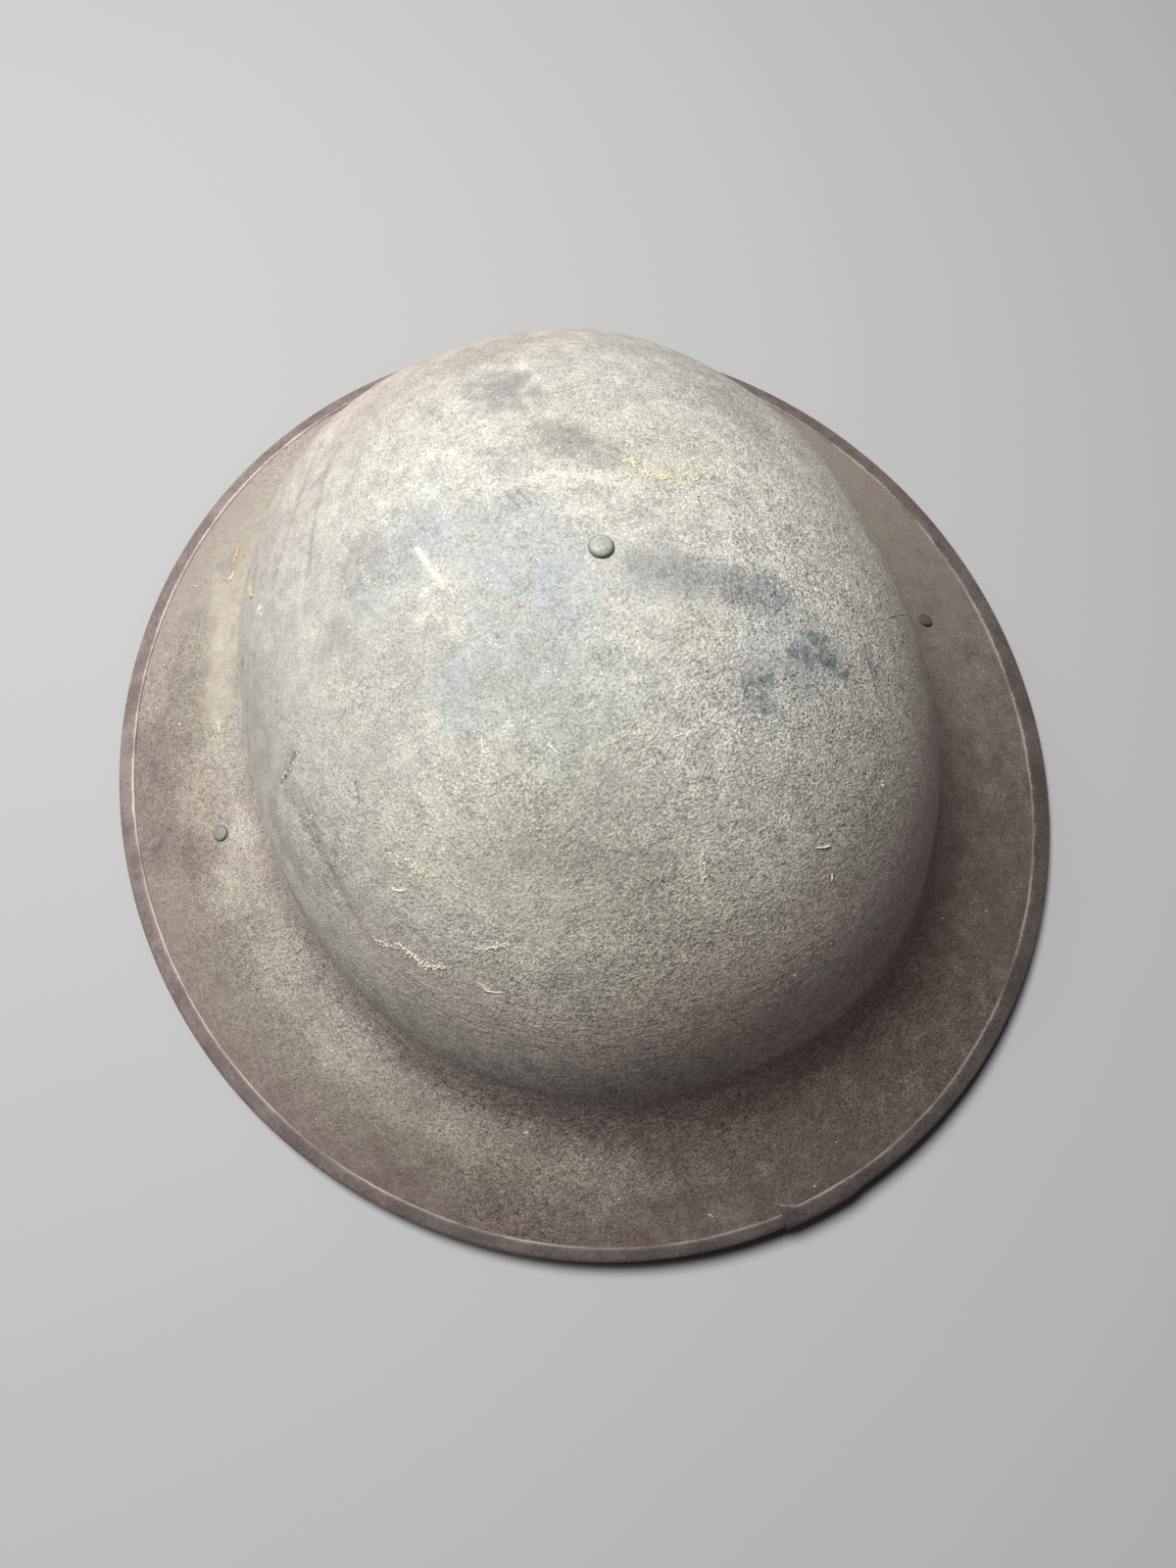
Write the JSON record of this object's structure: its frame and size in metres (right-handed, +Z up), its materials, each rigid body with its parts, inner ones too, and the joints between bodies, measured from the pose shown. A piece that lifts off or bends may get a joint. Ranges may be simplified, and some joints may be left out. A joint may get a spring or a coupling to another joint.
{
  "type": "brodie helmet",
  "caption": "Pressed steel helmet: oval domed bowl, narrow sloping brim with a folded edging, and domed rivets that hold a liner and a chin strap.",
  "frame": {"origin": "centre of the helmet's bounding box, on the surface that its rim stands on", "axes": "+Z up through the crown, Y along the longer axis of the oval with the edging's joint at -Y, X from side to side"},
  "size_m": [0.2916, 0.3151, 0.1189],
  "materials": {
    "shell_paint": "gritty matt drab paint, dusty and worn",
    "rim_paint": "dark brown worn paint over a folded strip",
    "rivet_paint": "dark drab paint, rubbed on the dome"
  },
  "bodies": {
    "root": {"helmet_shell": "shell_paint", "rim_edging": "rim_paint", "crown_rivet": "rivet_paint", "brim_rivet_left": "rivet_paint", "brim_rivet_right": "rivet_paint"}
  },
  "joints": []
}
